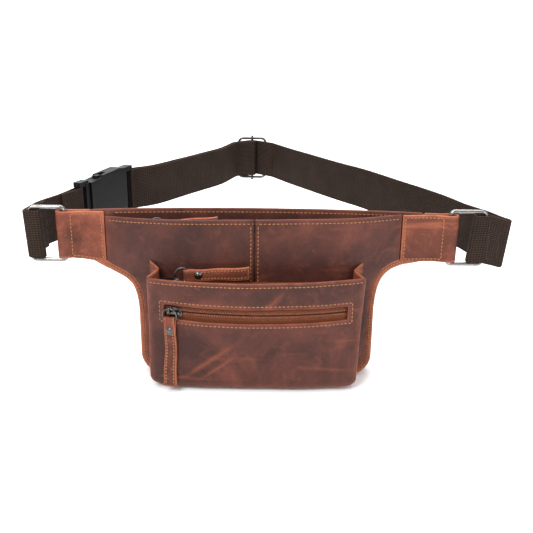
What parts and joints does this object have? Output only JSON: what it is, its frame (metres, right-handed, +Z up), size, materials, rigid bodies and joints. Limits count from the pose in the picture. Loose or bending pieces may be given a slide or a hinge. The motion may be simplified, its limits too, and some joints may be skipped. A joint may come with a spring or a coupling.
{
  "type": "waist pack",
  "caption": "Leather waist pack with a bellows front pocket, zips with leather pulls, ring tabs and a buckled, adjustable webbing belt.",
  "frame": {"origin": "on the flat rear face of the back panel, at its middle, level with the belt's axis", "axes": "+X to the right as seen from the front, +Y back towards the wearer, +Z up"},
  "size_m": [0.3839, 0.3441, 0.14],
  "materials": {
    "leather_dark": "waxed pull-up, satin",
    "leather_tan": "waxed pull-up, satin",
    "lining": "plain woven",
    "zip_textile": "woven tape and nylon coil",
    "gunmetal": "dark nickel, polished",
    "nickel": "polished",
    "webbing": "ribbed weave",
    "black_plastic": "satin"
  },
  "bodies": {
    "pouch": {"back_panel": "leather_tan", "edge_band": "leather_tan", "main_front_left": "leather_dark", "main_front_right": "leather_dark", "seam_backing": "leather_tan", "tab_left": "leather_tan", "tab_right": "leather_tan", "main_lining": "lining", "main_tape_rear": "zip_textile", "main_tape_front": "zip_textile", "main_zip_stops": "gunmetal", "pocket_front": "leather_dark", "pocket_gusset": "leather_tan", "pocket_lining": "lining", "pocket_tape_rear": "zip_textile", "pocket_tape_front": "zip_textile", "pocket_zip_stops": "gunmetal", "face_tape_upper": "zip_textile", "face_tape_lower": "zip_textile", "face_zip_stops": "gunmetal", "face_zip_pouch": "lining"},
    "main_slider": {"main_slider": "gunmetal"},
    "main_link": {"main_link": "gunmetal"},
    "main_pull": {"main_pull_ring": "gunmetal", "main_pull_strap": "leather_tan", "main_rivet": "gunmetal"},
    "pocket_slider": {"pocket_slider": "gunmetal"},
    "pocket_link": {"pocket_link": "gunmetal"},
    "pocket_pull": {"pocket_pull_ring": "gunmetal", "pocket_pull_strap": "leather_tan", "pocket_rivet": "gunmetal"},
    "face_slider": {"face_slider": "gunmetal", "face_link": "gunmetal"},
    "face_ring": {"face_pull_ring": "gunmetal"},
    "face_strap": {"face_pull_strap": "leather_tan", "face_rivet": "gunmetal"},
    "left_ring": {"ring_left": "nickel"},
    "right_ring": {"ring_right": "nickel"},
    "belt": {"webbing_short": "webbing", "webbing_long": "webbing", "webbing_adjuster": "webbing", "buckle_female": "black_plastic"},
    "buckle_plug": {"buckle_male": "black_plastic"},
    "prong_upper": {"prong_upper": "black_plastic"},
    "prong_lower": {"prong_lower": "black_plastic"},
    "belt_slide": {"slide_frame": "nickel", "slide_bar": "nickel"}
  },
  "joints": [
    {"name": "main_zip", "type": "slide", "parent": "pouch", "child": "main_slider", "axis": [1, 0, 0], "range_m": [0, 0.125]},
    {"name": "main_link_lift", "type": "hinge", "parent": "main_slider", "child": "main_link", "pos_m": [-0.0873, -0.0067, 0.00392], "axis": [0, -1, 0], "range_deg": [0, 70]},
    {"name": "main_pull_lift", "type": "hinge", "parent": "main_link", "child": "main_pull", "pos_m": [-0.08264, -0.0067, 0.00508], "axis": [0, -1, 0], "range_deg": [0, 15]},
    {"name": "pocket_zip", "type": "slide", "parent": "pouch", "child": "pocket_slider", "axis": [1, 0, 0], "range_m": [0, 0.078]},
    {"name": "pocket_link_lift", "type": "hinge", "parent": "pocket_slider", "child": "pocket_link", "pos_m": [-0.0658, -0.032, -0.02808], "axis": [0, -1, 0], "range_deg": [0, 70]},
    {"name": "pocket_pull_lift", "type": "hinge", "parent": "pocket_link", "child": "pocket_pull", "pos_m": [-0.06114, -0.032, -0.02692], "axis": [0, -1, 0], "range_deg": [0, 15]},
    {"name": "face_zip", "type": "hinge", "parent": "pouch", "child": "face_slider", "pos_m": [0, 0.2, 0], "axis": [0, 0, 1], "range_deg": [0, 29]},
    {"name": "face_ring_lift", "type": "hinge", "parent": "face_slider", "child": "face_ring", "pos_m": [-0.0662, -0.04352, -0.04679], "axis": [-0.9677, 0.252, 0], "range_deg": [0, 80]},
    {"name": "face_strap_swing", "type": "hinge", "parent": "face_ring", "child": "face_strap", "pos_m": [-0.0662, -0.04352, -0.05239], "axis": [-0.252, -0.9677, 0], "range_deg": [-25, 25]},
    {"name": "left_ring_swing", "type": "hinge", "parent": "pouch", "child": "left_ring", "pos_m": [-0.1515, -0.0039, 0], "axis": [0, 0, 1], "range_deg": [-12, 12]},
    {"name": "belt_on_left_ring", "type": "hinge", "parent": "left_ring", "child": "belt", "pos_m": [-0.179, -0.0039, 0], "axis": [0, 0, 1], "range_deg": [-12, 12]},
    {"name": "right_ring_swing", "type": "hinge", "parent": "pouch", "child": "right_ring", "pos_m": [0.1515, -0.0039, 0], "axis": [0, 0, 1], "range_deg": [-12, 12]},
    {"name": "buckle_release", "type": "slide", "parent": "belt", "child": "buckle_plug", "axis": [-0.4067, -0.9135, 0], "range_m": [0, 0.027], "deforming": ["webbing_short", "prong_upper", "prong_lower"]},
    {"name": "prong_upper_squeeze", "type": "hinge", "parent": "buckle_plug", "child": "prong_upper", "pos_m": [-0.15059, 0.07815, 0.0155], "axis": [-0.9135, 0.4067, 0], "range_deg": [0, 18], "stiffness_Nm_per_rad": 0.3},
    {"name": "prong_lower_squeeze", "type": "hinge", "parent": "buckle_plug", "child": "prong_lower", "pos_m": [-0.15059, 0.07815, -0.0155], "axis": [-0.9135, 0.4067, 0], "range_deg": [-18, 0], "stiffness_Nm_per_rad": 0.3},
    {"name": "belt_adjust", "type": "slide", "parent": "belt", "child": "belt_slide", "axis": [-0.557, -0.8305, 0], "range_m": [0, 0.04], "deforming": ["webbing_adjuster"]}
  ],
  "couplings": [
    {"joint": "belt_on_left_ring", "follows": "left_ring_swing", "ratio": -1},
    {"joint": "right_ring_swing", "follows": "left_ring_swing", "ratio": -1},
    {"joint": "prong_lower_squeeze", "follows": "prong_upper_squeeze", "ratio": -1}
  ]
}
